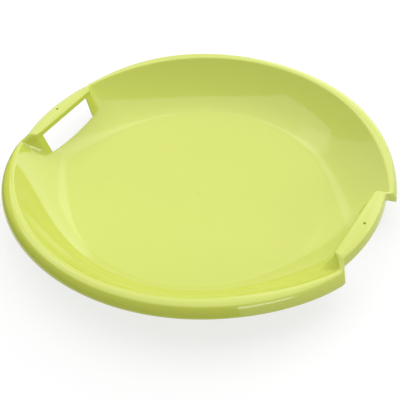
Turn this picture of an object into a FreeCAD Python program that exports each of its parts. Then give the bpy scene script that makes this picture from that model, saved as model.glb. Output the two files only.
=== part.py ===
"""Saucer sled: a round moulded dish with a rolled rim and two raised hand grips.

Frame: millimetres, +Z up, origin on the ground under the centre of the sole.
The two grips lie on the X axis.  Every outline is drawn in an upright plane
through the Z axis, turned by an angle from +X, as radius and height.
"""
import FreeCAD, Part
import os
import Sketcher

doc = FreeCAD.newDocument("saucer_sled")

# Driving dimensions in millimetres: name, size, meaning
SIZES = [
    ("wall", 2.5, "thickness of the moulded plastic"),
    ("sole_radius", 187.0, "sole, from the centre to the crease under the wall"),
    ("sole_rise", 8.0, "height of the crease above the flat middle of the sole"),
    ("rest_radius", 70.0, "flat middle of the sole that rests on the ground"),
    ("gate_radius", 2.5, "moulding mark in the middle of the sole"),
    ("gate_height", 0.8, "moulding mark above the sole"),
    ("wall_run", 69.0, "from the sole's crease out to the rolled top of the rim"),
    ("rim_width", 19.0, "rolled rim, from its inner edge to its outer edge"),
    ("rim_stretch", 8.0, "extra reach of the rim on the line of the grips"),
    ("rim_spread", 18.0, "extra run of the wall on the line of the grips, where the roll narrows"),
    ("rim_height", 71.5, "top of the rim, halfway between the grips"),
    ("rim_dip", 21.0, "how far the rim would sink on the line of the grips"),
    ("rim_crown", 1.0, "top of the rim above the inner edge of its roll"),
    ("rim_shoulder", 2.5, "top of the rim above the outer edge of its roll"),
    ("rim_lip", 3.0, "straight stretch between the wall and the roll"),
    ("skirt_drop", 17.5, "top of the rim above the lower edge of the skirt"),
    ("skirt_flare", 5.5, "outward lean of the skirt"),
    ("sill_run", 42.0, "from the sole's crease out to the straight sill of a hand window"),
    ("hand_gap", 12.0, "from the sill out to the inner edge of the grip, seen from above"),
    ("window_sag", 1.6, "extra hollow of the wall on the line of the grips"),
    ("window_half", 55.0, "half of the clear length of a hand window"),
    ("post_width", 10.5, "post between a hand window and the rise to the grip"),
    ("rise_width", 13.1, "rise between the post and the rim"),
    ("grip_width", 27.0, "grip in its middle, from its straight inner edge to its curved outer edge"),
    ("grip_height", 65.0, "top of a grip"),
    ("grip_crown", 1.2, "top of a grip above the inner edge of its land"),
    ("grip_shoulder", 2.5, "top of a grip above the outer edge of its land"),
    ("grip_lip", 7.5, "inner lip of a grip"),
    ("grip_skirt", 15.0, "outer skirt of a grip"),
    ("grip_flare", 2.5, "outward lean of the grip's skirt"),
    ("cord_hole", 2.0, "radius of the cord hole in a grip"),
]

# The wall climbs as start * t + (1 - start) * t^2 of its rise, t being the share of its run
WALL_START_SHARE = 0.2
# Directions square to the wall, out and down, at its foot, lower half, sill, upper half and top
FOOT_SHARES = (0.0, -1.0)
LOW_SHARES = (0.35, -0.93)
SILL_SHARES = (0.6, -0.8)
HIGH_SHARES = (0.7, -0.7)
TOP_SHARES = (0.8, -0.6)
# The rim sinks and the wall runs out towards the grips by this power of the cosine of the turn
DIP_POWER = 6
# The extra hollow fades from the line of the grips by this power of the cosine of the turn
SAG_POWER = 30
# Up the wall it goes as t^2 * (1 - t), times this factor that makes its greatest depth one
SAG_PEAK = 6.75
HALF_SHARE = 0.5
RIM_SECTION_COUNT = 9
GRIP_SECTION_COUNT = 5


def write_sizes():
    """Fill the sheet with one named size in each row."""
    sheet = doc.addObject("Spreadsheet::Sheet", "Sizes")
    for row, (name, size, meaning) in enumerate(SIZES, start=1):
        sheet.set(f"A{row}", name)
        sheet.set(f"B{row}", str(size))
        sheet.set(f"C{row}", meaning)
        sheet.setAlias(f"B{row}", name)
    doc.recompute()
    return sheet


def size(name):
    return f"Sizes.{name}"


sheet = write_sizes()

# Radii from the centre outwards, as expressions
RIM_INNER = f"({size('sole_radius')} + {size('wall_run')})"
RIM_CROSS = f"({RIM_INNER} + {size('rim_width')})"
RIM_LONG = f"({RIM_CROSS} + {size('rim_stretch')})"
SILL = f"({size('sole_radius')} + {size('sill_run')})"
GRIP_INNER = f"({SILL} + {size('hand_gap')})"
GRIP_REACH = f"({GRIP_INNER} + {size('grip_width')})"
CREASE_HEIGHT = f"({size('wall')} + {size('sole_rise')})"
ZERO = "0 mm"

# Turns from +X of the planes that bound the pieces
WINDOW_TURN = f"atan({size('window_half')} / {GRIP_INNER})"
POST_TURN = f"atan(({size('window_half')} + {size('post_width')}) / {GRIP_INNER})"
NOTCH_TURN = f"({POST_TURN} + asin({size('rise_width')} / {RIM_LONG}))"


def spread(first, last, count):
    """Turns spaced evenly from the first to the last."""
    steps = count - 1
    return [f"(({first}) * {steps - step} + ({last}) * {step}) / {steps}" for step in range(count)]


# Heights and radii that change round the rim


def reach(turn):
    return f"({RIM_CROSS} + {size('rim_stretch')} * cos({turn})^2)"


def crest(turn):
    return f"({size('rim_height')} - {size('rim_dip')} * cos({turn})^{DIP_POWER})"


def roll_start(turn):
    """Inner edge of the rolled top of the rim."""
    radius = f"({RIM_INNER} + {size('rim_spread')} * cos({turn})^{DIP_POWER})"
    return radius, f"({crest(turn)} - {size('rim_crown')})"


def wall_top(turn):
    """Upper end of the wall, a lip below the roll along the wall's own slope."""
    radius, height = roll_start(turn)
    run_share = -TOP_SHARES[1]
    rise_share = TOP_SHARES[0]
    return f"({radius} - {size('rim_lip')} * {run_share})", f"({height} - {size('rim_lip')} * {rise_share})"


def wall_point(turn, radius):
    """Point of the wall's inner face at a radius."""
    top_radius, top_height = wall_top(turn)
    run = f"(({radius} - {size('sole_radius')}) / ({top_radius} - {size('sole_radius')}))"
    climb = f"({WALL_START_SHARE} * {run} + {1 - WALL_START_SHARE} * {run}^2)"
    sag = f"({size('window_sag')} * cos({turn})^{SAG_POWER} * {SAG_PEAK} * {run}^2 * (1 - {run}))"
    return radius, f"({CREASE_HEIGHT} + ({top_height} - {CREASE_HEIGHT}) * {climb} - {sag})"


def sunk(point, shares, depth_share=1.0):
    """The point moved through the wall's thickness, or a share of it."""
    radius, height = point
    return (
        f"({radius} + {size('wall')} * {shares[0] * depth_share})",
        f"({height} + {size('wall')} * {shares[1] * depth_share})",
    )


# Outlines: a list of corners, each with the middle of the arc to the next corner or None


def cove_outline(turn, radius):
    """The lower wall, from the sole's crease out to a radius, in one arc."""
    middle_radius = f"(({size('sole_radius')} + {radius}) * {HALF_SHARE})"
    foot = (size("sole_radius"), CREASE_HEIGHT)
    middle = wall_point(turn, middle_radius)
    end = wall_point(turn, radius)
    return [
        (foot, middle),
        (end, None),
        (sunk(end, SILL_SHARES), sunk(middle, LOW_SHARES)),
        (sunk(foot, FOOT_SHARES), None),
    ]


def wall_outline(turn):
    """The whole wall from the sole's crease to the rim, in two arcs that meet at the sill's radius."""
    foot, end, end_under, foot_under = cove_outline(turn, SILL)
    top = wall_top(turn)
    high = wall_point(turn, f"(({SILL} + {top[0]}) * {HALF_SHARE})")
    return [
        foot,
        (end[0], high),
        (top, None),
        (sunk(top, TOP_SHARES), sunk(high, HIGH_SHARES)),
        end_under,
        foot_under,
    ]


def hood_outline(foot, foot_inside, edge, crown, shoulder, hem, lean):
    """A hooked section: inner leg, rounded top and outer skirt, one wall thick."""
    wall = size("wall")
    shoulder_inside = (f"({shoulder[0]} - {wall})", f"({shoulder[1]} - {wall} * {HALF_SHARE})")
    hem_inside = (f"({hem[0]} - {wall})", hem[1])
    crown_inside = (crown[0], f"({crown[1]} - {wall})")
    edge_inside = sunk(edge, lean)
    return [
        (foot, None),
        (edge, crown),
        (shoulder, None),
        (hem, None),
        (hem_inside, None),
        (shoulder_inside, crown_inside),
        (edge_inside, None),
        (foot_inside, None),
    ]


def rim_points(turn):
    """Inner edge, crown, shoulder and hem of the rim: a rounded top and a leaning skirt."""
    edge = roll_start(turn)
    shoulder = (f"({reach(turn)} - {size('skirt_flare')})", f"({crest(turn)} - {size('rim_shoulder')})")
    crown = (f"(({edge[0]} + {shoulder[0]}) * {HALF_SHARE})", crest(turn))
    hem = (reach(turn), f"({crest(turn)} - {size('skirt_drop')})")
    return edge, crown, shoulder, hem


def rim_outline(turn):
    """Rolled rim, with a lip that carries on the wall."""
    top = wall_top(turn)
    return hood_outline(top, sunk(top, TOP_SHARES), *rim_points(turn), TOP_SHARES)


def grip_points(turn):
    """Inner edge, crown, shoulder and hem of a grip: straight inside, round outside."""
    inner = f"({GRIP_INNER} / cos({turn}))"
    edge = (inner, f"({size('grip_height')} - {size('grip_crown')})")
    crown = (f"(({inner} + {GRIP_REACH}) * {HALF_SHARE})", size("grip_height"))
    top = size("grip_height")
    shoulder = (f"({GRIP_REACH} - {size('grip_flare')})", f"({top} - {size('grip_shoulder')})")
    hem = (GRIP_REACH, f"({top} - {size('grip_skirt')})")
    return edge, crown, shoulder, hem


# A grip's inner leg is one wall thick
LEG_SHARES = (1.0, -HALF_SHARE)


def grip_outline(turn):
    """A grip: a short inner lip, a nearly flat land and an outer skirt."""
    edge, crown, shoulder, hem = grip_points(turn)
    foot = (edge[0], f"({size('grip_height')} - {size('grip_lip')})")
    foot_inside = (f"({edge[0]} + {size('wall')})", foot[1])
    return hood_outline(foot, foot_inside, edge, crown, shoulder, hem, LEG_SHARES)


def sill_radius(turn):
    """The sill is straight, so its radius grows with the turn."""
    return f"({SILL} / cos({turn}))"


def cheek_outline(turn, points):
    """End of the rim or of a grip, with an inner leg that stands on the sill's edge of the wall."""
    foot = wall_point(turn, sill_radius(turn))
    return hood_outline(foot, sunk(foot, SILL_SHARES), *points, LEG_SHARES)


# Drawing and building


def origin_plane(body, role):
    return next(plane for plane in body.Origin.OriginFeatures if plane.Role == role)


def evaluate(expression):
    """Present value of an expression, for the first draft of a sketch."""
    value = sheet.evalExpression(expression)
    return float(getattr(value, "Value", value))


def pin(sketch, geometry, place, point):
    """Tie a point of the sketch to a radius and a height."""
    for kind, expression in (("DistanceX", point[0]), ("DistanceY", point[1])):
        constraint = Sketcher.Constraint(kind, -1, 1, geometry, place, evaluate(expression))
        index = sketch.addConstraint(constraint)
        sketch.setExpression(f"Constraints[{index}]", expression)


def draw(sketch, outline):
    """Draw a closed outline of lines and three-point arcs and tie it to the sizes."""
    vectors = [FreeCAD.Vector(evaluate(point[0]), evaluate(point[1]), 0) for point, _ in outline]
    edges = []
    for number, (_, middle) in enumerate(outline):
        start = vectors[number]
        end = vectors[(number + 1) % len(vectors)]
        if middle is None:
            edges.append((sketch.addGeometry(Part.LineSegment(start, end), False), 1, 2))
            continue
        # A sketch holds its arcs anticlockwise, so a clockwise one is drawn from its far end
        through = FreeCAD.Vector(evaluate(middle[0]), evaluate(middle[1]), 0)
        if (through - start).cross(end - start).z > 0:
            edges.append((sketch.addGeometry(Part.Arc(start, through, end), False), 1, 2))
        else:
            edges.append((sketch.addGeometry(Part.Arc(end, through, start), False), 2, 1))
    for number, (edge, first, _) in enumerate(edges):
        before, _, last = edges[number - 1]
        sketch.addConstraint(Sketcher.Constraint("Coincident", before, last, edge, first))
    for (edge, first, _), (point, middle) in zip(edges, outline):
        pin(sketch, edge, first, point)
        if middle is not None:
            spot = FreeCAD.Vector(evaluate(middle[0]), evaluate(middle[1]), 0)
            mark = sketch.addGeometry(Part.Point(spot), True)
            pin(sketch, mark, 1, middle)
            sketch.addConstraint(Sketcher.Constraint("PointOnObject", mark, 1, edge))


def upright_sketch(body, name, turn, outline):
    """Sketch in the upright plane at a turn from +X."""
    sketch = body.newObject("Sketcher::SketchObject", name)
    sketch.AttachmentSupport = (origin_plane(body, "XZ_Plane"), [""])
    sketch.MapMode = "FlatFace"
    upright = FreeCAD.Rotation(FreeCAD.Vector(0, 1, 0), evaluate(turn))
    sketch.AttachmentOffset = FreeCAD.Placement(FreeCAD.Vector(), upright)
    sketch.setExpression("AttachmentOffset.Rotation.Angle", turn)
    draw(sketch, outline)
    return sketch


def new_body(label):
    body = doc.addObject("PartDesign::Body", label)
    body.Label = label
    return body


def add_loft(body, name, turns, outline_at):
    """Solid through the same outline drawn at each turn."""
    sketches = [
        upright_sketch(body, f"{name}_{number}", turn, outline_at(turn)) for number, turn in enumerate(turns)
    ]
    loft = body.newObject("PartDesign::AdditiveLoft", name)
    loft.Profile = sketches[0]
    loft.Sections = sketches[1:]
    return loft


def add_ground_cut(body, name, draw_cut):
    """Cut straight up through the body along an outline drawn on the ground plane."""
    sketch = body.newObject("Sketcher::SketchObject", f"{name}_sketch")
    sketch.AttachmentSupport = (origin_plane(body, "XY_Plane"), [""])
    sketch.MapMode = "FlatFace"
    draw_cut(sketch)
    pocket = body.newObject("PartDesign::Pocket", name)
    pocket.Profile = sketch
    pocket.Type = "ThroughAll"
    pocket.Reversed = True


def turn_about(body, half_turn):
    """Set the piece round the Z axis, to its own side of the sled."""
    body.Placement = FreeCAD.Placement(
        FreeCAD.Vector(), FreeCAD.Rotation(FreeCAD.Vector(0, 0, 1), half_turn)
    )


# The pieces


def make_sole():
    """Round sole: flat in the middle, then a gentle rise to the crease, with a moulding mark."""
    body = new_body("sole_disc")
    wall = size("wall")
    tip = f"({wall} + {size('gate_height')})"
    outline = [
        ((ZERO, ZERO), None),
        ((size("rest_radius"), ZERO), None),
        ((size("sole_radius"), size("sole_rise")), None),
        ((size("sole_radius"), CREASE_HEIGHT), None),
        ((size("rest_radius"), wall), None),
        ((f"({size('gate_radius')} + {size('gate_height')})", wall), None),
        ((size("gate_radius"), tip), None),
        ((ZERO, tip), None),
    ]
    sketch = upright_sketch(body, "sole_section", "0 deg", outline)
    turned = body.newObject("PartDesign::Revolution", "sole_turned")
    turned.Profile = sketch
    turned.ReferenceAxis = (sketch, ["V_Axis"])
    turned.Angle = 360
    return body


def make_end_wall(label, half_turn):
    """Wall between the two hand windows, at the front or the rear."""
    body = new_body(label)
    turns = spread(NOTCH_TURN, f"180 deg - {NOTCH_TURN}", RIM_SECTION_COUNT)
    add_loft(body, f"{label}_loft", turns, wall_outline)
    turn_about(body, half_turn)
    return body


def make_window_wall(label, half_turn):
    """Low wall under a hand window and its posts, up to the sill."""
    body = new_body(label)
    turns = [f"-1 * {turn}" for turn in (NOTCH_TURN, POST_TURN, WINDOW_TURN)]
    turns += ["0 deg", WINDOW_TURN, POST_TURN, NOTCH_TURN]
    add_loft(body, f"{label}_loft", turns, lambda turn: cove_outline(turn, sill_radius(turn)))
    turn_about(body, half_turn)
    return body


def make_rim(label, half_turn):
    """Rolled rim from one grip round to the other."""
    body = new_body(label)
    turns = spread(NOTCH_TURN, f"180 deg - {NOTCH_TURN}", RIM_SECTION_COUNT)
    add_loft(body, f"{label}_loft", turns, rim_outline)
    turn_about(body, half_turn)
    return body


def make_grip(label, half_turn):
    """Hand grip: a hooked bar over the window, with a cord hole in the middle of its land."""
    body = new_body(label)
    turns = spread(f"-1 * {WINDOW_TURN}", WINDOW_TURN, GRIP_SECTION_COUNT)
    add_loft(body, f"{label}_loft", turns, grip_outline)

    def draw_hole(sketch):
        middle = f"(({GRIP_INNER} + {GRIP_REACH}) * {HALF_SHARE})"
        centre = FreeCAD.Vector(evaluate(middle), 0, 0)
        up = FreeCAD.Vector(0, 0, 1)
        circle = sketch.addGeometry(Part.Circle(centre, up, evaluate(size("cord_hole"))), False)
        pin(sketch, circle, 3, (middle, ZERO))
        index = sketch.addConstraint(Sketcher.Constraint("Radius", circle, evaluate(size("cord_hole"))))
        sketch.setExpression(f"Constraints[{index}]", size("cord_hole"))

    add_ground_cut(body, f"{label}_cord_hole", draw_hole)
    turn_about(body, half_turn)
    return body


def make_cheek(label, hand, half_turn):
    """Rise from the rim to the post that carries the end of a grip."""
    body = new_body(label)
    turns = [f"{hand} * {turn}" for turn in (NOTCH_TURN, POST_TURN, WINDOW_TURN)]

    def outline(turn):
        points = rim_points(turn) if turn == turns[0] else grip_points(turn)
        return cheek_outline(turn, points)

    add_loft(body, f"{label}_loft", turns, outline).Ruled = True
    turn_about(body, half_turn)
    return body


def build():
    """All pieces, each named as its file."""
    pieces = [make_sole()]
    for end, half_turn in (("rear", 0), ("front", 180)):
        pieces.append(make_end_wall(f"{end}_wall", half_turn))
        pieces.append(make_rim(f"{end}_rim", half_turn))
    for side, half_turn in (("right", 0), ("left", 180)):
        pieces.append(make_window_wall(f"{side}_window_wall", half_turn))
        pieces.append(make_grip(f"{side}_grip", half_turn))
        ends = ("rear", "front") if side == "right" else ("front", "rear")
        for end, hand in zip(ends, (1, -1)):
            pieces.append(make_cheek(f"{side}_{end}_cheek", hand, half_turn))
    return pieces


def check(pieces):
    """Stop if any object failed or any piece is not one sound solid."""
    for item in doc.Objects:
        if "Invalid" in item.State or "Error" in item.State:
            raise RuntimeError(f"{item.Name} failed: {item.State}")
    for piece in pieces:
        shape = piece.Shape
        if shape.isNull() or not shape.isValid() or len(shape.Solids) != 1:
            raise RuntimeError(f"{piece.Label} is not one sound solid")


def write(pieces):
    os.makedirs("parts", exist_ok=True)
    for piece in pieces:
        piece.Shape.exportStep(f"parts/{piece.Label}.step")
        box = piece.Shape.BoundBox
        print(
            f"{piece.Label}: {piece.Shape.Volume / 1000:.2f} cm3, x {box.XMin:.1f}..{box.XMax:.1f}, "
            f"y {box.YMin:.1f}..{box.YMax:.1f}, z {box.ZMin:.1f}..{box.ZMax:.1f}"
        )


pieces = build()
doc.recompute()
check(pieces)
write(pieces)
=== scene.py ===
"""Saucer sled: one glossy lime moulding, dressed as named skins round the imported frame.

Metres, +Z up, origin on the ground under the middle of the sole, hand grips on the X axis.
Every skin is a slice of one surface, given by a turn about Z and a row along its profile.
"""
import math

import bpy
import numpy as np
from mathutils import Euler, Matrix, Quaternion, Vector


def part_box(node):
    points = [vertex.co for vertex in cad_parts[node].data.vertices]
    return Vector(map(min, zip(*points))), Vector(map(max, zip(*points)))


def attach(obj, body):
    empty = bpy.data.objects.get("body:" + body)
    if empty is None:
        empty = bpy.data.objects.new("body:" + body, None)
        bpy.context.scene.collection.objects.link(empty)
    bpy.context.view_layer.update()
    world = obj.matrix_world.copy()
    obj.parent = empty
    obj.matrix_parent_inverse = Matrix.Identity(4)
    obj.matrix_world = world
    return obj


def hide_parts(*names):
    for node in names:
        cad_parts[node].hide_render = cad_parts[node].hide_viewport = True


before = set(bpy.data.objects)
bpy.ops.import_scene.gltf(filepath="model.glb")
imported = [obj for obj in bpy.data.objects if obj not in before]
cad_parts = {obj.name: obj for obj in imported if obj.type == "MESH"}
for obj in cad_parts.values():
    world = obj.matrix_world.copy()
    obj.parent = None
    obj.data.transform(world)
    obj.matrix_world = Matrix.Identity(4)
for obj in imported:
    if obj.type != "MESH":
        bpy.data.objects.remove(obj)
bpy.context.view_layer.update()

bl_info = {
    "name": "Saucer Sled",
    "version": (1, 0, 0),
    "blender": (4, 5, 0),
    "location": "View3D > Sidebar > Sled",
    "description": "Moulded saucer sled with a rolled rim and two raised hand grips",
    "category": "Add Mesh",
}

SOLE_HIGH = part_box("sole_disc")[1]
RIM_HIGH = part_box("rear_rim")[1]
GRIP_LOW, GRIP_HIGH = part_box("right_grip")
BODY = "root"


def length(name, default, description):
    """A size in metres."""
    return bpy.props.FloatProperty(
        name=name, description=description, default=default, min=0.0, precision=4,
        subtype="DISTANCE", unit="LENGTH",
    )


def share(name, default, description):
    """A number from 0 to 1."""
    return bpy.props.FloatProperty(
        name=name, description=description, default=default, min=0.0, max=1.0, subtype="FACTOR",
    )


def colour(name, default, description):
    """A linear colour."""
    return bpy.props.FloatVectorProperty(
        name=name, description=description, default=default, size=3, min=0.0, max=1.0,
        subtype="COLOR",
    )


def place(name, default, description):
    """A point in metres."""
    return bpy.props.FloatVectorProperty(
        name=name, description=description, default=default, size=3,
        subtype="TRANSLATION", unit="LENGTH",
    )


class SledSizes(bpy.types.PropertyGroup):
    """Sizes of the moulding."""

    wall: length("Wall", 0.0025, "Thickness of the moulded plastic")
    sole_radius: length("Sole radius", SOLE_HIGH.x, "From the centre to the crease under the wall")
    sole_rise: length("Sole rise", 0.008, "Crease above the flat middle of the sole")
    rest_radius: length("Rest radius", 0.07, "Flat middle of the sole")
    gate_radius: length("Gate radius", 0.0025, "Moulding mark in the middle of the sole")
    gate_height: length("Gate height", 0.0008, "Moulding mark above the sole")
    rim_inner: length("Rim inner edge", 0.256, "Inner edge of the rolled top of the rim")
    rim_spread: length("Rim spread", 0.018, "Extra run of the wall on the line of the grips")
    rim_cross: length("Rim reach", RIM_HIGH.y, "Outer reach of the rim halfway between the grips")
    rim_stretch: length("Rim stretch", 0.008, "Extra reach of the rim on the line of the grips")
    rim_height: length("Rim height", RIM_HIGH.z, "Top of the rim halfway between the grips")
    rim_dip: length("Rim dip", 0.021, "How far the rim would sink on the line of the grips")
    rim_crown: length("Rim crown", 0.001, "Top of the rim above the inner edge of its roll")
    rim_shoulder: length("Rim shoulder", 0.0025, "Top of the rim above the outer edge of its roll")
    skirt_drop: length("Skirt drop", 0.0175, "Top of the rim above the lower edge of the skirt")
    skirt_flare: length("Skirt flare", 0.0055, "Outward lean of the skirt")
    skirt_belly: length("Skirt belly", 0.0014, "Outward rounding of the skirt")
    sill: length("Sill", 0.229, "Centre to the straight sill of a hand window")
    window_sag: length("Window sag", 0.0016, "Extra hollow of the wall on the line of the grips")
    window_half: length("Window half", 0.055, "Half of the clear length of a hand window")
    post_width: length("Post width", 0.0105, "Post between a hand window and the rise")
    rise_width: length("Rise width", 0.0131, "Rise between the post and the rim")
    grip_inner: length("Grip inner edge", GRIP_LOW.x, "Centre to the straight inner edge of a grip")
    grip_reach: length("Grip reach", GRIP_HIGH.x, "Centre to the curved outer edge of a grip")
    grip_height: length("Grip height", GRIP_HIGH.z, "Top of a grip")
    grip_crown: length("Grip crown", 0.0012, "Top of a grip above the inner edge of its land")
    grip_shoulder: length("Grip shoulder", 0.0025, "Top of a grip above the outer edge of its land")
    grip_lip: length("Grip lip", 0.0075, "Top of a grip above the foot of its inner lip")
    grip_skirt: length("Grip skirt", 0.015, "Top of a grip above the lower edge of its skirt")
    grip_flare: length("Grip flare", 0.0025, "Outward lean of the grip's skirt")
    cord_hole: length("Cord hole", 0.002, "Radius of the cord hole in a grip")
    wall_start: share("Wall start", 0.2, "Slope of the wall at the crease over its mean slope")
    rise_round: share("Rise rounding", 0.09, "Rounding of the rise's ends as a share of its width")


class SledFinish(bpy.types.PropertyGroup):
    """Colours and gloss of the plastic."""

    lime: colour("Lime", (0.61, 0.675, 0.108), "Main colour of the plastic")
    deep_lime: colour("Deep lime", (0.582, 0.656, 0.096), "Colour of the plastic's thicker flow")
    worn_lime: colour("Worn lime", (0.68, 0.75, 0.16), "Colour of the scratches underneath")
    gloss: share("Roughness", 0.1, "Roughness of the polished skin")
    scuff: share("Scuffed roughness", 0.42, "Roughness of the rubbed underside")


class SledStage(bpy.types.PropertyGroup):
    """Camera, floor and lights."""

    camera_place: place("Camera", (0.48041, -0.74602, 0.81891), "Where the camera stands")
    camera_aim: place("Aim", (0.02457, -0.03615, 0.03), "Point in the middle of the picture")
    camera_roll: bpy.props.FloatProperty(
        name="Roll", description="Turn of the camera about its view", default=math.radians(-2.2),
        subtype="ANGLE", unit="ROTATION",
    )
    lens: bpy.props.FloatProperty(
        name="Lens", description="Focal length on a 36 mm sensor", default=73.44, min=1.0,
        subtype="DISTANCE_CAMERA", unit="CAMERA",
    )
    floor_colour: colour("Floor", (0.98, 0.98, 0.98), "Colour of the floor")
    floor_shade: colour(
        "Floor shade", (0.55, 0.55, 0.55), "Colour of the floor in the light that it throws back"
    )
    floor_half: length("Floor half", 3.0, "Half of the floor's width")
    lamp_distance: length("Lamp distance", 3.5, "From the middle of the sled to each softbox")
    flag_distance: length("Flag distance", 0.33, "From the middle of the sled to the dark card")
    flag_height: length("Flag height", 0.15, "Height of the dark card")
    sky: bpy.props.FloatProperty(
        name="Sky", description="Strength of the soft light from all round", default=0.31, min=0.0,
    )


# Shape


def landmarks(size):
    """Turns from the X axis at the end of a window, of its post and of the rim."""
    window = math.atan(size.window_half / size.grip_inner)
    post = math.atan((size.window_half + size.post_width) / size.grip_inner)
    notch = post + math.asin(size.rise_width / (size.rim_cross + size.rim_stretch))
    return window, post, notch


# Columns of a quarter turn: window, post, rise and rim
WINDOW_COLUMNS = 24
POST_COLUMNS = 12
RISE_COLUMNS = 26
RIM_COLUMNS = 84
WINDOW_END = WINDOW_COLUMNS
NOTCH_END = WINDOW_COLUMNS + POST_COLUMNS + RISE_COLUMNS
QUARTER = NOTCH_END + RIM_COLUMNS
HALF = 2 * QUARTER
ALL_ROUND = 2 * HALF

# First column and span of each end's rim, and middle column of each side's grip
ENDS = {"rear": NOTCH_END, "front": HALF + NOTCH_END}
END_SPAN = HALF - 2 * NOTCH_END
SIDES = {"right": 0, "left": HALF}

# Rows along the profile: sole, cove below the sill, leg, lip, roll and skirt
GATE_ROWS = 8
SOLE_ROWS = 40
COVE_ROWS = 30
LEG_ROWS = 22
LIP_ROWS = 6
ROLL_ROWS = 22
SKIRT_ROWS = 9
CREASE_ROW = GATE_ROWS + SOLE_ROWS
SILL_ROW = CREASE_ROW + COVE_ROWS
LIP_ROW = SILL_ROW + LEG_ROWS
EDGE_ROW = LIP_ROW + LIP_ROWS
SHOULDER_ROW = EDGE_ROW + ROLL_ROWS
HEM_ROW = SHOULDER_ROW + SKIRT_ROWS
BEAD_STEPS = 8
SOFTENING_PASSES = 3

# Spacing of the sole's rows, and the first ring round the pole as a share of the second
SOLE_SPACING = 0.8
POLE_SHARE = 0.25

# Roundings of the sole's bend and of the gate, and end of the gate's bump in radii of its foot
REST_ROUND = 0.2
GATE_ROUND = 0.3
GATE_REACH = 2

# Powers of the cosine of the turn for the rim and for the sag under a window, and the sag's scale
DIP_POWER = 6
SAG_POWER = 30
SAG_PEAK = 27 / 4


def turn_columns(size):
    """Turns of all columns: a quarter with more columns at the grip, mirrored and then repeated."""
    window, post, notch = landmarks(size)
    bounds = (0.0, window, post, notch, math.pi / 2)
    counts = (WINDOW_COLUMNS, POST_COLUMNS, RISE_COLUMNS, RIM_COLUMNS)
    parts = [np.linspace(a, b, n, endpoint=False) for a, b, n in zip(bounds, bounds[1:], counts)]
    quarter = np.concatenate(parts)
    half = np.concatenate([quarter, [math.pi / 2], math.pi - quarter[:0:-1]])
    return np.concatenate([half, half + math.pi])


def steps(count):
    """Even shares from 0 up to, but without, 1."""
    return np.linspace(0, 1, count, endpoint=False)


def soft_step(x, rounding):
    """A ramp from 0 at 0 to 1 at 1 whose two corners are rounded hyperbolas."""
    return (np.hypot(x, rounding) - np.hypot(x - 1, rounding) + 1) / 2


def soft_ramp(x, rounding):
    """Zero below 0 and x above it, with a rounded corner, scaled to reach 1 at 1."""
    return (x + np.hypot(x, rounding)) / (1 + math.hypot(1, rounding))


def between(start, end, amount):
    """Straight line of (radius, height) points: start + (end - start) * amount."""
    return start + (end - start) * amount[:, None, None]


def arc(start, through, end, amount):
    """Circular arc of (radius, height) points from start through a middle point to end.

    With half a chord h and a rise r over it, the arc's radius is (h^2 + r^2) / (2 * r).
    """
    chord = end - start
    half = np.hypot(*np.moveaxis(chord, -1, 0)) / 2
    middle = (start + end) / 2
    normal = np.stack([-chord[..., 1], chord[..., 0]], axis=-1) / (2 * half[..., None])
    rise = ((through - middle) * normal).sum(axis=-1)
    radius = (half**2 + rise**2) / (2 * rise)
    centre = middle + normal * (rise - radius)[..., None]
    reach = np.arctan2(half, radius - rise)
    swing = reach * (2 * amount[:, None] - 1)
    along = chord / (2 * half[..., None])
    return centre + radius[..., None] * (
        np.sin(swing)[..., None] * along + np.cos(swing)[..., None] * normal
    )


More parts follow.
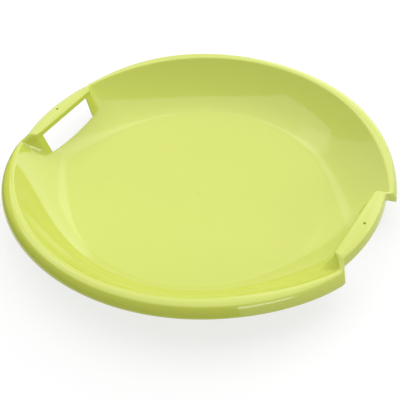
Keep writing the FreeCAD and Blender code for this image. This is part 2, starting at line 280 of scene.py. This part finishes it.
class Surface:
    """Upper and lower skin of the whole sled as grids of points and normals.

    Row by row, (radius, height) runs out over the sole, up the wall, over the rim's roll and down
    its skirt. Near the X axis the rim's profile turns into the grip's, by a rounded step in the
    turn. The lower skin is the upper one moved through the wall along its normals.
    """

    def __init__(self, size):
        self.size = size
        self.turn = turn_columns(size)
        self.fold = np.arctan2(np.abs(np.sin(self.turn)), np.abs(np.cos(self.turn)))
        profile = np.concatenate([self.sole(), self.soften(self.outside())])
        radius, height = profile[..., 0], profile[..., 1]
        x, y = radius * np.cos(self.turn), radius * np.sin(self.turn)
        self.upper = np.stack([x, y, height], axis=-1)
        along = np.gradient(self.upper, axis=0)
        around = np.roll(self.upper, -1, axis=1) - np.roll(self.upper, 1, axis=1)
        normal = np.cross(along, around)
        self.normal = normal / np.linalg.norm(normal, axis=-1, keepdims=True)
        self.lower = self.upper - size.wall * self.normal
        self.along = along / np.linalg.norm(along, axis=-1, keepdims=True)
        self.around = around / np.linalg.norm(around, axis=-1, keepdims=True)

    def sole(self):
        """Height is a soft ramp from the rest radius to the crease, plus a bump at the gate."""
        size = self.size
        foot = size.gate_radius + size.gate_height
        gate = foot * steps(GATE_ROWS)
        gate[0] = gate[1] * POLE_SHARE
        flat = foot + (size.sole_radius - foot) * steps(SOLE_ROWS) ** SOLE_SPACING
        radius = np.concatenate([gate, flat])
        run = (radius - size.rest_radius) / (size.sole_radius - size.rest_radius)
        bump = soft_step((foot - radius) / size.gate_height, GATE_ROUND)
        bump *= radius < GATE_REACH * foot
        height = size.wall + size.sole_rise * soft_ramp(run, REST_ROUND) + size.gate_height * bump
        rows = np.stack([radius, height], axis=-1)
        return np.repeat(rows[:, None], len(self.turn), axis=1)

    def wall_height(self, radius):
        """The wall climbs by start * x + (1 - start) * x^2 of its rise, x being a share of its run.

        It sags by x^2 * (1 - x), 27/4 times over to peak at one, and by cos(turn)^30 round Z.
        """
        size = self.size
        x = (radius - size.sole_radius) / (self.wall_end() - size.sole_radius)
        crease = size.wall + size.sole_rise
        edge = self.crest() - size.rim_crown
        climb = size.wall_start * x + (1 - size.wall_start) * x**2
        sag = size.window_sag * np.cos(self.fold) ** SAG_POWER * SAG_PEAK * x**2 * (1 - x)
        return crease + (edge - crease) * climb - sag

    def crest(self):
        """The top of the rim sinks by the sixth power of the cosine of the turn."""
        return self.size.rim_height - self.size.rim_dip * np.cos(self.fold) ** DIP_POWER

    def wall_end(self):
        """The wall runs further out by the sixth power of the cosine of the turn."""
        return self.size.rim_inner + self.size.rim_spread * np.cos(self.fold) ** DIP_POWER

    def pair(self, radius, height):
        """One (radius, height) point for each column."""
        shape = self.fold.shape
        return np.stack([np.broadcast_to(radius, shape), np.broadcast_to(height, shape)], axis=-1)

    def outside(self):
        """Wall, roll and skirt: the rim's rows and the grip's rows mixed by the rise.

        The sill crosses the X axis as a straight line, at the radius sill / cos(turn).
        """
        size = self.size
        _, post, notch = landmarks(size)
        sill = size.sill / np.cos(np.minimum(self.fold, notch))
        cove = size.sole_radius + (sill - size.sole_radius) * steps(COVE_ROWS)[:, None]
        foot_rows = np.stack([cove, self.wall_height(cove)], axis=-1)
        lift = soft_step((notch - self.fold) / (notch - post), size.rise_round)
        rim = self.rim_rows(sill)
        top_rows = rim + (self.grip_rows(sill) - rim) * lift[:, None]
        return np.concatenate([foot_rows, top_rows])

    def rim_rows(self, sill):
        """Upper wall on its own curve, a low arc over the roll and an arc down the skirt.

        The rim reaches further out by the square of the cosine of the turn.
        """
        size = self.size
        crest = self.crest()
        end = self.wall_end()
        reach = size.rim_cross + size.rim_stretch * np.cos(self.fold) ** 2
        radius = sill + (end - sill) * steps(LEG_ROWS + LIP_ROWS)[:, None]
        upper_wall = np.stack([radius, self.wall_height(radius)], axis=-1)
        edge = self.pair(end, crest - size.rim_crown)
        shoulder = self.pair(reach - size.skirt_flare, crest - size.rim_shoulder)
        crown = self.pair((end + reach - size.skirt_flare) / 2, crest)
        hem = self.pair(reach, crest - size.skirt_drop + size.wall / 2)
        belly = (shoulder + hem) / 2 + np.array([size.skirt_belly, 0.0])
        return np.concatenate([
            upper_wall,
            arc(edge, crown, shoulder, steps(ROLL_ROWS)),
            arc(shoulder, belly, hem, np.linspace(0, 1, SKIRT_ROWS + 1)),
        ])

    def grip_rows(self, sill):
        """Straight leg from the sill, upright lip, arc over the land and straight skirt of a grip.

        Its inner edge crosses the X axis as a straight line, at the radius inner / cos(turn).
        No grip is left past an eighth of a turn, and the line stops there.
        """
        size = self.size
        inner = size.grip_inner / np.cos(np.minimum(self.fold, math.pi / 4))
        top = size.grip_height
        foot = self.pair(sill, self.wall_height(sill))
        lip = self.pair(inner, top - size.grip_lip)
        edge = self.pair(inner, top - size.grip_crown)
        crown = self.pair((inner + size.grip_reach) / 2, top)
        shoulder = self.pair(size.grip_reach - size.grip_flare, top - size.grip_shoulder)
        hem = self.pair(size.grip_reach, top - size.grip_skirt + size.wall / 2)
        return np.concatenate([
            between(foot, lip, steps(LEG_ROWS)),
            between(lip, edge, steps(LIP_ROWS)),
            arc(edge, crown, shoulder, steps(ROLL_ROWS)),
            between(shoulder, hem, np.linspace(0, 1, SKIRT_ROWS + 1)),
        ])

    @staticmethod
    def soften(rows):
        """Round the profile's corners: each pass takes (row before + 2 * row + row after) / 4."""
        for _ in range(SOFTENING_PASSES):
            inner = (rows[:-2] + 2 * rows[1:-1] + rows[2:]) / 4
            rows = np.concatenate([rows[:1], inner, rows[-1:]])
        return rows


# Meshes


def add_object(name, data):
    """Object in the scene, at the origin."""
    thing = bpy.data.objects.new(name, data)
    bpy.context.scene.collection.objects.link(thing)
    return thing


class Skin:
    """A closed shell gathered from grids of points, with a normal for each corner of each face."""

    def __init__(self):
        self.points = []
        self.faces = []
        self.normals = []
        self.caps = []
        self.count = 0

    def add_points(self, points):
        """Store points and return their numbers in the same layout."""
        flat = points.reshape(-1, 3)
        numbers = self.count + np.arange(len(flat)).reshape(points.shape[:-1])
        self.points.append(flat)
        self.count += len(flat)
        return numbers

    def add_grid(self, numbers, normals, keep=None):
        """Four-sided faces between neighbouring rows and columns, facing along row x column."""
        corners = [(slice(None, -1), slice(None, -1)), (slice(1, None), slice(None, -1)),
                   (slice(1, None), slice(1, None)), (slice(None, -1), slice(1, None))]
        quads = np.stack([numbers[c] for c in corners], axis=-1)
        facing = np.stack([normals[c] for c in corners], axis=-2)
        wanted = np.ones(quads.shape[:2], bool) if keep is None else keep
        self.faces.append(quads[wanted])
        self.normals.append(facing[wanted])

    def add_cap(self, ring, pole, up):
        """Fan of triangles from a ring to its pole, facing up or down."""
        following = np.roll(ring, -1)
        tips = np.full(len(ring), pole)
        corners = (tips, ring, following) if up[2] > 0 else (tips, following, ring)
        self.caps.append((np.stack(corners, axis=-1), up))

    def make(self, name):
        """Write the shell to a mesh object with its own corner normals."""
        faces = np.concatenate([f.reshape(-1, 4) for f in self.faces]).tolist()
        normals = [n.reshape(-1, 3) for n in self.normals]
        for triangles, up in self.caps:
            faces += triangles.tolist()
            normals.append(np.tile(up, (triangles.size, 1)))
        mesh = bpy.data.meshes.new(name)
        mesh.from_pydata(np.concatenate(self.points), [], faces)
        mesh.polygons.foreach_set("use_smooth", np.ones(len(faces), bool))
        mesh.normals_split_custom_set(np.concatenate(normals))
        mesh.update()
        return add_object(name, mesh)


def edge_loop(grid):
    """Border of a grid, once round: first row, last column, last row back, first column back."""
    return np.concatenate([grid[0, :-1], grid[:-1, -1], grid[-1, :0:-1], grid[:0:-1, 0]])


def slice_skin(surface, rows, columns, free):
    """Closed shell of a slice of the surface.

    free is a grid that is true where the border is an open edge of the moulding.
    An open edge ends in a half round bead as thick as the wall; a joint ends flat.
    """
    skin = Skin()
    pick = np.ix_(rows, columns)
    upper, lower, normal = surface.upper[pick], surface.lower[pick], surface.normal[pick]
    top = skin.add_points(upper)
    bottom = skin.add_points(lower)
    outward = np.zeros_like(upper)
    outward[0] -= surface.along[pick][0]
    outward[-1] += surface.along[pick][-1]
    outward[:, 0] -= surface.around[pick][:, 0]
    outward[:, -1] += surface.around[pick][:, -1]
    border = {
        "top": edge_loop(top), "bottom": edge_loop(bottom), "free": edge_loop(free),
        "normal": edge_loop(normal), "outward": edge_loop(outward),
        "upper": edge_loop(upper), "lower": edge_loop(lower),
    }
    skin.add_grid(bottom.T, -np.swapaxes(normal, 0, 1))
    add_border(skin, border)
    return skin, top, bottom, normal


def add_border(skin, border):
    """Strip round a slice: a half turn about the wall's middle from the upper to the lower skin."""
    outward = border["outward"] / np.linalg.norm(border["outward"], axis=-1, keepdims=True)
    half = (border["upper"] - border["lower"]) / 2
    middle = (border["upper"] + border["lower"]) / 2
    swing = np.linspace(0, math.pi, BEAD_STEPS + 1)[:, None, None]
    bulge = border["free"][:, None] * np.linalg.norm(half, axis=-1, keepdims=True)
    strip = middle + np.cos(swing) * half + np.sin(swing) * bulge * outward
    inner = skin.add_points(strip[1:-1])
    numbers = np.concatenate([border["top"][None], inner, border["bottom"][None]])
    rounded = np.cos(swing) * border["normal"] + np.sin(swing) * outward
    facing = np.where(border["free"][:, None], rounded, outward)
    around = np.append(np.arange(numbers.shape[1]), 0)
    skin.add_grid(numbers[:, around].T, np.swapaxes(facing[:, around], 0, 1))


def column_span(start, stop):
    """Columns from start to stop, counted round the sled."""
    return np.arange(start, stop + 1) % ALL_ROUND


def dress(piece, node):
    """Give a skin its finish and let it stand for its node."""
    piece.data.materials.append(lime_plastic())
    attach(piece, BODY)
    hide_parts(node)


def make_slice(surface, node, rows, columns, free):
    """Skin of one node, with the slice's upper grid whole."""
    skin, top, _, normal = slice_skin(surface, rows, columns, free)
    skin.add_grid(top, normal)
    dress(skin.make(f"{node}_skin"), node)


def make_sole(surface):
    """Round sole: a grid closed round the turn, with a pole at the gate above and below."""
    skin = Skin()
    columns = column_span(0, ALL_ROUND)
    rows = slice(0, CREASE_ROW + 1)
    upper, lower, normal = surface.upper[rows], surface.lower[rows].copy(), surface.normal[rows]
    flat_rows = np.arange(CREASE_ROW + 1) <= GATE_ROWS
    lower[flat_rows, :, 2] = 0.0
    normal_below = np.where(flat_rows[:, None, None], np.array([0.0, 0.0, -1.0]), -normal)
    top = skin.add_points(upper)
    bottom = skin.add_points(lower)
    skin.add_grid(top[:, columns], normal[:, columns])
    skin.add_grid(bottom[:, columns].T, np.swapaxes(normal_below[:, columns], 0, 1))
    wall_face = np.stack([top[-1], bottom[-1]])[:, columns]
    outward = np.repeat(surface.along[CREASE_ROW][None], 2, axis=0)[:, columns]
    skin.add_grid(wall_face, outward)
    for ring, points, up in ((top[0], upper[0], 1.0), (bottom[0], lower[0], -1.0)):
        pole = skin.add_points(points.mean(axis=0)[None])[0]
        skin.add_cap(ring, pole, np.array([0.0, 0.0, up]))
    dress(skin.make("sole_skin"), "sole_disc")


def no_edges(rows, columns):
    """Grid of a slice that has no open edge."""
    return np.zeros((len(rows), len(columns)), bool)


def make_walls(surface):
    """Walls from the crease up to the rim, joined all round."""
    rows = np.arange(CREASE_ROW, LIP_ROW + 1)
    for end, start in ENDS.items():
        columns = column_span(start, start + END_SPAN)
        make_slice(surface, f"{end}_wall", rows, columns, no_edges(rows, columns))


def make_window_walls(surface):
    """Low walls whose sill is an open edge between the posts."""
    rows = np.arange(CREASE_ROW, SILL_ROW + 1)
    for side, middle in SIDES.items():
        columns = column_span(middle - NOTCH_END, middle + NOTCH_END)
        free = no_edges(rows, columns)
        free[-1, NOTCH_END - WINDOW_END:NOTCH_END + WINDOW_END + 1] = True
        make_slice(surface, f"{side}_window_wall", rows, columns, free)


def make_rims(surface):
    """Rolled rims whose hem is an open edge."""
    rows = np.arange(LIP_ROW, HEM_ROW + 1)
    for end, start in ENDS.items():
        columns = column_span(start, start + END_SPAN)
        free = no_edges(rows, columns)
        free[-1] = True
        make_slice(surface, f"{end}_rim", rows, columns, free)


def make_cheeks(surface):
    """Rises and posts: open at the hem, and beside the window from the sill up to the lip."""
    rows = np.arange(SILL_ROW, HEM_ROW + 1)
    leg = LIP_ROW - SILL_ROW + 1
    for side, middle in SIDES.items():
        ends = ("rear", "front") if side == "right" else ("front", "rear")
        for end, hand in zip(ends, (1, -1)):
            first, last = sorted((middle + hand * WINDOW_END, middle + hand * NOTCH_END))
            columns = column_span(first, last)
            free = no_edges(rows, columns)
            free[-1] = True
            free[:leg, 0 if hand > 0 else -1] = True
            make_slice(surface, f"{side}_{end}_cheek", rows, columns, free)


# Cells that a cord hole takes out of the land, each way from it, and the rings in their place
HOLE_COLUMNS = 2
HOLE_ROWS = 4
HOLE_RINGS = 4


def make_grips(surface):
    """Hooked grips, open at the lip's foot and at the hem, with a cord hole in the land."""
    rows = np.arange(LIP_ROW, HEM_ROW + 1)
    for side, middle in SIDES.items():
        columns = column_span(middle - WINDOW_END, middle + WINDOW_END)
        free = no_edges(rows, columns)
        free[[0, -1]] = True
        skin, top, bottom, normal = slice_skin(surface, rows, columns, free)
        add_cord_hole(skin, surface, top, bottom, normal, surface.upper[np.ix_(rows, columns)])
        dress(skin.make(f"{side}_grip_skin"), f"{side}_grip")


def add_cord_hole(skin, surface, top, bottom, normal, upper):
    """The land's cells round the hole give way to rings that close from a square to the circle."""
    size = surface.size
    centre_column = upper.shape[1] // 2
    reach = np.hypot(upper[:, centre_column, 0], upper[:, centre_column, 1])
    hole_reach = (size.grip_inner + size.grip_reach) / 2
    land = slice(EDGE_ROW - LIP_ROW, SHOULDER_ROW - LIP_ROW + 1)
    middle_row = land.start + int(np.argmin(np.abs(reach[land] - hole_reach)))
    rows = slice(middle_row - HOLE_ROWS, middle_row + HOLE_ROWS + 1)
    columns = slice(centre_column - HOLE_COLUMNS, centre_column + HOLE_COLUMNS + 1)

    # The land without the cells round the hole
    keep = np.ones((upper.shape[0] - 1, upper.shape[1] - 1), bool)
    keep[rows.start:rows.stop - 1, columns.start:columns.stop - 1] = False
    skin.add_grid(top, normal, keep)

    # Rings from the square of those cells to the circle, which lies on the land
    square = edge_loop(upper[rows, columns])
    facing = edge_loop(normal[rows, columns])
    direction = upper[middle_row, centre_column, :2] / reach[middle_row]
    centre = direction * hole_reach
    bearing = np.arctan2(square[:, 1] - centre[1], square[:, 0] - centre[0])
    circle = centre + size.cord_hole * np.stack([np.cos(bearing), np.sin(bearing)], axis=-1)
    height = np.interp(np.hypot(*circle.T), reach[land], upper[land, centre_column, 2])
    circle = np.concatenate([circle, height[:, None]], axis=-1)
    amount = np.linspace(0, 1, HOLE_RINGS + 1)[:, None, None]
    rings = square + (circle - square) * amount

    # Upper side, under side and bore
    closed = np.append(np.arange(len(square)), 0)
    ring_normals = np.repeat(facing[None], HOLE_RINGS + 1, axis=0)
    numbers = np.concatenate([edge_loop(top[rows, columns])[None], skin.add_points(rings[1:])])
    skin.add_grid(numbers[:, closed], ring_normals[:, closed])
    below = rings - size.wall * facing
    under = np.concatenate([edge_loop(bottom[rows, columns])[None], skin.add_points(below[1:])])
    skin.add_grid(under[:, closed].T, -np.swapaxes(ring_normals[:, closed], 0, 1))
    inward = np.concatenate([centre - circle[:, :2], np.zeros((len(circle), 1))], axis=-1)
    inward = np.repeat((inward / size.cord_hole)[None], 2, axis=0)
    skin.add_grid(np.stack([numbers[-1], under[-1]])[:, closed], inward[:, closed])


# Materials


class Value:
    """A socket in sums: each operator adds one Math node."""

    def __init__(self, tree, socket):
        self.tree = tree
        self.socket = socket

    def math(self, operation, *others):
        """Math node of this value and others."""
        parts = dict(enumerate((self, *others)))
        return self.tree.add("ShaderNodeMath", {"operation": operation}, parts)

    def __add__(self, other):
        return self.math("ADD", other)

    def __mul__(self, other):
        return self.math("MULTIPLY", other)

    def __sub__(self, other):
        return self.math("SUBTRACT", other)

    def __rsub__(self, other):
        return self.tree.add("ShaderNodeMath", {"operation": "SUBTRACT"}, {0: other, 1: self})

    __radd__ = __add__
    __rmul__ = __mul__


class Tree:
    """Node tree of a material or of the world, filled one node at a time."""

    def __init__(self, owner):
        owner.use_nodes = True
        self.tree = owner.node_tree
        self.tree.nodes.clear()

    def add(self, kind, settings=None, sockets=None, output=0):
        """A node of a type, with its settings and then the values or links of its sockets."""
        node = self.tree.nodes.new(kind)
        for name, setting in (settings or {}).items():
            setattr(node, name, setting)
        for name, part in (sockets or {}).items():
            if isinstance(part, Value):
                self.tree.links.new(part.socket, node.inputs[name])
            else:
                node.inputs[name].default_value = part
        return Value(self, node.outputs[output]) if node.outputs else None

    def mix_colours(self, amount, first, second):
        """Colour between two colours."""
        settings = {"data_type": "RGBA", "clamp_factor": True}
        return self.add("ShaderNodeMix", settings, {0: amount, 6: first, 7: second}, output=2)

    def ramp(self, value, low, high):
        """Value carried from 0 at low to 1 at high and held beyond them."""
        sockets = {"Value": value, "From Min": low, "From Max": high}
        return self.add("ShaderNodeMapRange", {"clamp": True}, sockets)

    def noise(self, spot, detail, scale=1.0):
        """Cloudy value at a spot."""
        sockets = {"Vector": spot, "Scale": scale, "Detail": detail}
        return self.add("ShaderNodeTexNoise", {}, sockets)


def rgba(rgb):
    """Colour with a full alpha."""
    return (*rgb, 1.0)


# Pattern of the plastic: clouds and orange peel per metre, scratches per metre along X, Y and Z
CLOUD_SCALE = 9.0
PEEL_SCALE = 260.0
SCRATCH_SCALE = (14.0, 420.0, 60.0)

# Flow streaks per radian round the gate and per metre out from it
FLOW_ROUND = 14.0
FLOW_OUT = 6.0

# Where the rubbed underside starts and is full, by the upright part of the normal
RUB_START = -0.55
RUB_FULL = -0.8

# Where a scratch starts and is full, by its noise
SCRATCH_START = 0.55
SCRATCH_FULL = 0.75

# How much the pattern does to the colour and the roughness, and its relief against a scratch's
CLOUD_SHARE = 0.6
WEAR_SHARE = 0.35
GLOSS_SPREAD = 0.03
SCRATCH_DULL = 0.15
PEEL_RELIEF = 0.4
BUMP_STRENGTH = 0.06
BUMP_DEPTH = 0.0002
PLASTIC_IOR = 1.5


def lime_plastic():
    """Polished lime plastic: cloudy pigment, faint flow streaks and a scuffed underside.

    The streaks are noise of the bearing and the reach from the gate, so that they run outwards.
    """
    found = bpy.data.materials.get("lime_plastic_skin")
    if found:
        return found
    finish = bpy.context.scene.sled_finish
    material = bpy.data.materials.new("lime_plastic_skin")
    tree = Tree(material)
    spot = tree.add("ShaderNodeTexCoord", output="Object")
    cloud = tree.noise(spot, detail=3.0, scale=CLOUD_SCALE)
    peel = tree.noise(spot, detail=1.0, scale=PEEL_SCALE)
    x, y = (tree.add("ShaderNodeSeparateXYZ", {}, {"Vector": spot}, output=axis) for axis in "XY")
    bearing = y.math("ARCTAN2", x)
    reach = (x * x + y * y).math("SQRT")
    flow_sockets = {"X": bearing * FLOW_ROUND, "Y": reach * FLOW_OUT}
    streaks = tree.noise(tree.add("ShaderNodeCombineXYZ", {}, flow_sockets), detail=2.0)
    facing = tree.add("ShaderNodeNewGeometry", output="Normal")
    tilt = tree.add("ShaderNodeSeparateXYZ", {}, {"Vector": facing}, output="Z")
    below = tree.ramp(tilt, RUB_START, RUB_FULL)
    scratch_spot = tree.add("ShaderNodeMapping", {}, {"Vector": spot, "Scale": SCRATCH_SCALE})
    scratches = tree.noise(scratch_spot, detail=4.0)
    scuffs = tree.ramp(scratches, SCRATCH_START, SCRATCH_FULL) * below
    mottle = cloud * CLOUD_SHARE + streaks * (1 - CLOUD_SHARE)
    pigment = tree.mix_colours(mottle, rgba(finish.deep_lime), rgba(finish.lime))
    base = tree.mix_colours(scuffs * WEAR_SHARE, pigment, rgba(finish.worn_lime))
    polish = finish.gloss - (1 - cloud - streaks) * GLOSS_SPREAD
    roughness = polish + below * (finish.scuff - finish.gloss) + scuffs * SCRATCH_DULL
    relief = peel * PEEL_RELIEF - scuffs
    bump_sockets = {"Strength": BUMP_STRENGTH, "Distance": BUMP_DEPTH, "Height": relief}
    bump = tree.add("ShaderNodeBump", {}, bump_sockets)
    shader = tree.add(
        "ShaderNodeBsdfPrincipled", {},
        {"Base Color": base, "Roughness": roughness, "Normal": bump, "IOR": PLASTIC_IOR},
    )
    tree.add("ShaderNodeOutputMaterial", {}, {"Surface": shader})
    return material


def camera_sees(tree):
    """One for rays that show the scene: from the camera, or by way of gloss or glass."""
    kinds = ("Is Camera Ray", "Is Glossy Ray", "Is Transmission Ray")
    camera, glossy, through = [tree.add("ShaderNodeLightPath", output=kind) for kind in kinds]
    return camera.math("MAXIMUM", glossy).math("MAXIMUM", through)


# Floor: share of plain white as the eye sees it, grain per metre and gloss; then the dark card
WHITE = (1.0, 1.0, 1.0, 1.0)
FLOOR_WHITENESS = 0.75
FLOOR_GRAIN_SCALE = 3.0
FLOOR_ROUGHNESS = 0.5
FLOOR_GRAIN = 0.1
CARD_BLACK = (0.02, 0.02, 0.02, 1.0)
CARD_ROUGHNESS = 0.9


def pale_floor():
    """White sheet with a soft gloss; the eye sees it lightened, with the sled's shadow kept."""
    stage = bpy.context.scene.sled_stage
    material = bpy.data.materials.new("pale_floor")
    tree = Tree(material)
    spot = tree.add("ShaderNodeTexCoord", output="Object")
    grain = tree.noise(spot, detail=2.0, scale=FLOOR_GRAIN_SCALE)
    roughness = FLOOR_ROUGHNESS + grain * FLOOR_GRAIN
    seen = camera_sees(tree)
    base = tree.mix_colours(seen, rgba(stage.floor_shade), rgba(stage.floor_colour))
    sheet = tree.add("ShaderNodeBsdfPrincipled", {}, {"Base Color": base, "Roughness": roughness})
    white = tree.add("ShaderNodeEmission", {}, {"Color": WHITE, "Strength": 1.0})
    amount = seen * FLOOR_WHITENESS
    surface = tree.add("ShaderNodeMixShader", {}, {0: amount, 1: sheet, 2: white})
    tree.add("ShaderNodeOutputMaterial", {}, {"Surface": surface})
    return material


def dark_card():
    """Dull black card."""
    material = bpy.data.materials.new("dark_card")
    tree = Tree(material)
    sockets = {"Base Color": CARD_BLACK, "Roughness": CARD_ROUGHNESS}
    sheet = tree.add("ShaderNodeBsdfPrincipled", {}, sockets)
    tree.add("ShaderNodeOutputMaterial", {}, {"Surface": sheet})
    return material


# Stage


def add_sheet(name, points, faces, material):
    """Thin piece of the stage."""
    mesh = bpy.data.meshes.new(name)
    mesh.from_pydata(points, [], faces)
    mesh.materials.append(material)
    sheet = add_object(name, mesh)
    return sheet


def make_floor():
    """Flat square under the sled."""
    corners = np.array([[-1.0, -1.0, 0.0], [1.0, -1.0, 0.0], [1.0, 1.0, 0.0], [-1.0, 1.0, 0.0]])
    half = bpy.context.scene.sled_stage.floor_half
    add_sheet("floor", half * corners, [(0, 1, 2, 3)], pale_floor())


def make_world():
    """White all round to the eye, and a soft even light."""
    world = bpy.data.worlds.new("studio")
    bpy.context.scene.world = world
    tree = Tree(world)
    sky = bpy.context.scene.sled_stage.sky
    light = tree.add("ShaderNodeBackground", {}, {"Color": WHITE, "Strength": sky})
    white = tree.add("ShaderNodeBackground", {}, {"Color": WHITE, "Strength": 1.0})
    surface = tree.add("ShaderNodeMixShader", {}, {0: camera_sees(tree), 1: light, 2: white})
    tree.add("ShaderNodeOutputWorld", {}, {"Surface": surface})


# Softboxes: degrees to the right of straight away from the camera, degrees up, width and height in
# degrees, and brightness, white paper in plain light being one
SOFTBOXES = {
    "overhead": (-8.0, 77.0, 104.0, 54.0, 1.32),
    "back": (0.0, 45.0, 34.0, 26.0, 0.9),
    "back_left": (-38.0, 33.0, 42.0, 46.0, 0.7),
    "back_right": (40.0, 24.0, 60.0, 44.0, 1.2),
    "front_right": (148.0, 22.0, 30.0, 14.0, 4.5),
}

# Dark card: from and to, in degrees to the left of straight away from the camera; steps and lift
FLAG_START = 66.0
FLAG_END = 190.0
FLAG_STEPS = 12
FLAG_LIFT = 0.02


def away_bearing():
    """Turn about Z of the direction straight away from the camera."""
    spot = bpy.context.scene.sled_stage.camera_place
    return math.atan2(-spot[1], -spot[0])


def make_softboxes():
    """Rectangular lamps turned towards the sled, set out from the camera's point of view.

    A lamp of power P and area A has the brightness P / (pi * A).
    """
    stage = bpy.context.scene.sled_stage
    away = away_bearing()
    for name, (bearing, height, wide, tall, brightness) in SOFTBOXES.items():
        lamp = bpy.data.lights.new(name, "AREA")
        lamp.shape = "RECTANGLE"
        lamp.size = 2 * stage.lamp_distance * math.tan(math.radians(wide / 2))
        lamp.size_y = 2 * stage.lamp_distance * math.tan(math.radians(tall / 2))
        lamp.energy = brightness * math.pi * lamp.size * lamp.size_y
        turn = Euler((math.radians(90.0 - height), 0.0, away - math.radians(bearing) + math.pi / 2))
        softbox = add_object(name, lamp)
        softbox.rotation_euler = turn
        softbox.location = turn.to_matrix() @ Vector((0.0, 0.0, stage.lamp_distance))


def make_flag():
    """Dark card, bent round the sled's left and near side, that darkens the gloss of the skirt.

    Only mirror-like reflections see it: it isn't in the picture and throws no shadow.
    """
    stage = bpy.context.scene.sled_stage
    bearings = away_bearing() + np.radians(np.linspace(FLAG_START, FLAG_END, FLAG_STEPS))
    foot = stage.flag_distance * np.stack([np.cos(bearings), np.sin(bearings)], axis=-1)
    low = np.concatenate([foot, np.full((FLAG_STEPS, 1), FLAG_LIFT)], axis=-1)
    high = low + np.array([0.0, 0.0, stage.flag_height])
    numbers = np.arange(2 * FLAG_STEPS).reshape(2, FLAG_STEPS)
    faces = np.stack([numbers[0, :-1], numbers[0, 1:], numbers[1, 1:], numbers[1, :-1]], axis=-1)
    flag = add_sheet("flag", np.concatenate([low, high]), faces.tolist(), dark_card())
    flag.visible_camera = False
    flag.visible_diffuse = False
    flag.visible_shadow = False


def make_camera():
    """Camera at the angle of the photograph."""
    stage = bpy.context.scene.sled_stage
    data = bpy.data.cameras.new("camera")
    data.lens = stage.lens
    look = Vector(stage.camera_aim) - Vector(stage.camera_place)
    roll = Quaternion((0.0, 0.0, 1.0), stage.camera_roll)
    camera = add_object("camera", data)
    camera.location = stage.camera_place
    camera.rotation_mode = "QUATERNION"
    camera.rotation_quaternion = look.to_track_quat("-Z", "Y") @ roll
    bpy.context.scene.camera = camera


# Operators


class SLED_OT_sole(bpy.types.Operator):
    """Make the round sole with its moulding mark."""

    bl_idname = "sled.sole"
    bl_label = "Sole"

    def execute(self, context):
        make_sole(Surface(context.scene.sled_sizes))
        return {"FINISHED"}


class SLED_OT_walls(bpy.types.Operator):
    """Make the front and rear walls of the dish."""

    bl_idname = "sled.walls"
    bl_label = "Walls"

    def execute(self, context):
        make_walls(Surface(context.scene.sled_sizes))
        return {"FINISHED"}


class SLED_OT_window_walls(bpy.types.Operator):
    """Make the low walls under the hand windows."""

    bl_idname = "sled.window_walls"
    bl_label = "Window Walls"

    def execute(self, context):
        make_window_walls(Surface(context.scene.sled_sizes))
        return {"FINISHED"}


class SLED_OT_rims(bpy.types.Operator):
    """Make the rolled rims."""

    bl_idname = "sled.rims"
    bl_label = "Rims"

    def execute(self, context):
        make_rims(Surface(context.scene.sled_sizes))
        return {"FINISHED"}


class SLED_OT_cheeks(bpy.types.Operator):
    """Make the rises and posts at the ends of the grips."""

    bl_idname = "sled.cheeks"
    bl_label = "Cheeks"

    def execute(self, context):
        make_cheeks(Surface(context.scene.sled_sizes))
        return {"FINISHED"}


class SLED_OT_grips(bpy.types.Operator):
    """Make the two hand grips with their cord holes."""

    bl_idname = "sled.grips"
    bl_label = "Grips"

    def execute(self, context):
        make_grips(Surface(context.scene.sled_sizes))
        return {"FINISHED"}


class SLED_OT_stage(bpy.types.Operator):
    """Make the floor, the lights and the camera."""

    bl_idname = "sled.stage"
    bl_label = "Stage"

    def execute(self, context):
        context.scene.view_settings.view_transform = "Standard"
        make_floor()
        make_world()
        make_softboxes()
        make_flag()
        make_camera()
        return {"FINISHED"}


OPERATORS = (
    SLED_OT_sole, SLED_OT_walls, SLED_OT_window_walls, SLED_OT_rims, SLED_OT_cheeks,
    SLED_OT_grips, SLED_OT_stage,
)
GROUPS = {"sled_sizes": SledSizes, "sled_finish": SledFinish, "sled_stage": SledStage}


class SLED_PT_panel(bpy.types.Panel):
    """Steps that build the sled, with its sizes, finish and stage."""

    bl_idname = "SLED_PT_panel"
    bl_label = "Saucer Sled"
    bl_space_type = "VIEW_3D"
    bl_region_type = "UI"
    bl_category = "Sled"

    def draw(self, context):
        for operator in OPERATORS:
            self.layout.operator(operator.bl_idname)
        for owner, group in GROUPS.items():
            for name in group.__annotations__:
                self.layout.prop(getattr(context.scene, owner), name)


CLASSES = (*GROUPS.values(), *OPERATORS, SLED_PT_panel)


def register():
    """Register the classes and give the scene its groups of values."""
    for kind in CLASSES:
        bpy.utils.register_class(kind)
    for name, group in GROUPS.items():
        setattr(bpy.types.Scene, name, bpy.props.PointerProperty(type=group))


def unregister():
    """Take the groups and the classes away again."""
    for name in GROUPS:
        delattr(bpy.types.Scene, name)
    for kind in reversed(CLASSES):
        bpy.utils.unregister_class(kind)


def main():
    """Make all skins and the stage."""
    register()
    bpy.ops.sled.sole()
    bpy.ops.sled.walls()
    bpy.ops.sled.window_walls()
    bpy.ops.sled.rims()
    bpy.ops.sled.cheeks()
    bpy.ops.sled.grips()
    bpy.ops.sled.stage()


if __name__ == "__main__":
    main()
